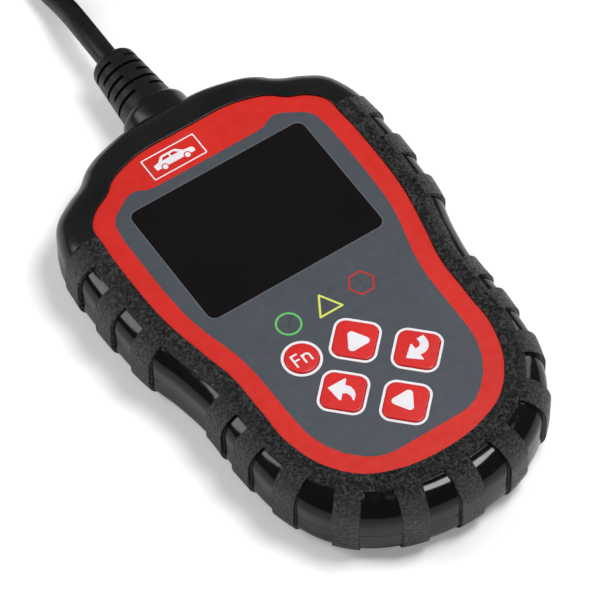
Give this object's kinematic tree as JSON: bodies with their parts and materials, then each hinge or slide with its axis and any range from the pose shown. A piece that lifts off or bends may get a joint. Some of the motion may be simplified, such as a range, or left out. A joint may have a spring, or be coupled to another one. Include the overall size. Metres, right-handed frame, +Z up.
{
  "type": "obd code reader",
  "caption": "Handheld vehicle diagnostic code reader with a display, five sprung keys, a ribbed grip rim and a coiled lead to a diagnostic plug.",
  "frame": {"origin": "centre of the housing's width and length, on the surface its back rests on", "axes": "+Z up out of the display, +Y along the housing towards the lead, +X to the right of the display"},
  "size_m": [0.1435, 0.3574, 0.0252],
  "materials": {
    "housing": "grained satin, glossy in the panels",
    "film": "printed, satin",
    "lens": "gloss",
    "foam": "matte",
    "display_metal": "satin",
    "flex": "satin",
    "socket_plastic": "satin",
    "board": "solder mask",
    "light_guide": "clear",
    "chip": "matte",
    "can": "satin",
    "screw": "black zinc",
    "sleeve_rubber": "satin",
    "lead_jacket": "satin",
    "wire_insulation": "satin",
    "tie_strap": "hook and loop",
    "plug_plastic": "satin",
    "pin_metal": "plated",
    "lamp_green": "clear",
    "lamp_yellow": "clear",
    "lamp_red": "clear",
    "key": "satin",
    "switch_case": "satin",
    "plunger": "satin"
  },
  "bodies": {
    "reader": {"beeper": "chip", "board_screws": "screw", "board_socket": "socket_plastic", "bus_transceiver": "chip", "capacitors": "can", "clock_crystal": "can", "coil_tie": "tie_strap", "display_frame": "display_metal", "display_lens": "lens", "display_pads": "foam", "display_panel": "lens", "face_overlay": "film", "flex_cable": "flex", "flex_socket": "socket_plastic", "front_cover": "housing", "housing_screws": "screw", "lamp_green": "lamp_green", "lamp_red": "lamp_red", "lamp_yellow": "lamp_yellow", "lead": "lead_jacket", "lead_coil": "lead_jacket", "lead_core": "lead_jacket", "lead_tail": "lead_jacket", "lead_wires": "wire_insulation", "lens_gasket": "foam", "light_guides": "light_guide", "main_board": "board", "memory_chip": "chip", "plug_body": "plug_plastic", "plug_core": "lead_jacket", "plug_insert": "plug_plastic", "plug_pins": "pin_metal", "plug_shroud": "plug_plastic", "plug_sleeve": "sleeve_rubber", "processor": "chip", "rear_cover": "housing", "strain_relief": "sleeve_rubber", "switch_back": "switch_case", "switch_down": "switch_case", "switch_enter": "switch_case", "switch_fn": "switch_case", "switch_up": "switch_case", "voltage_regulator": "chip", "wire_plug": "socket_plastic"},
    "key_up": {"key_up": "key", "plunger_up": "plunger"},
    "key_back": {"key_back": "key", "plunger_back": "plunger"},
    "key_enter": {"key_enter": "key", "plunger_enter": "plunger"},
    "key_down": {"key_down": "key", "plunger_down": "plunger"},
    "key_fn": {"key_fn": "key", "plunger_fn": "plunger"}
  },
  "joints": [
    {"name": "press_up", "type": "slide", "parent": "reader", "child": "key_up", "axis": [0, 0, -1], "range_m": [0, 0.00045], "stiffness_N_per_m": 3500},
    {"name": "press_back", "type": "slide", "parent": "reader", "child": "key_back", "axis": [0, 0, -1], "range_m": [0, 0.00045], "stiffness_N_per_m": 3500},
    {"name": "press_enter", "type": "slide", "parent": "reader", "child": "key_enter", "axis": [0, 0, -1], "range_m": [0, 0.00045], "stiffness_N_per_m": 3500},
    {"name": "press_down", "type": "slide", "parent": "reader", "child": "key_down", "axis": [0, 0, -1], "range_m": [0, 0.00045], "stiffness_N_per_m": 3500},
    {"name": "press_fn", "type": "slide", "parent": "reader", "child": "key_fn", "axis": [0, 0, -1], "range_m": [0, 0.00045], "stiffness_N_per_m": 3500}
  ]
}
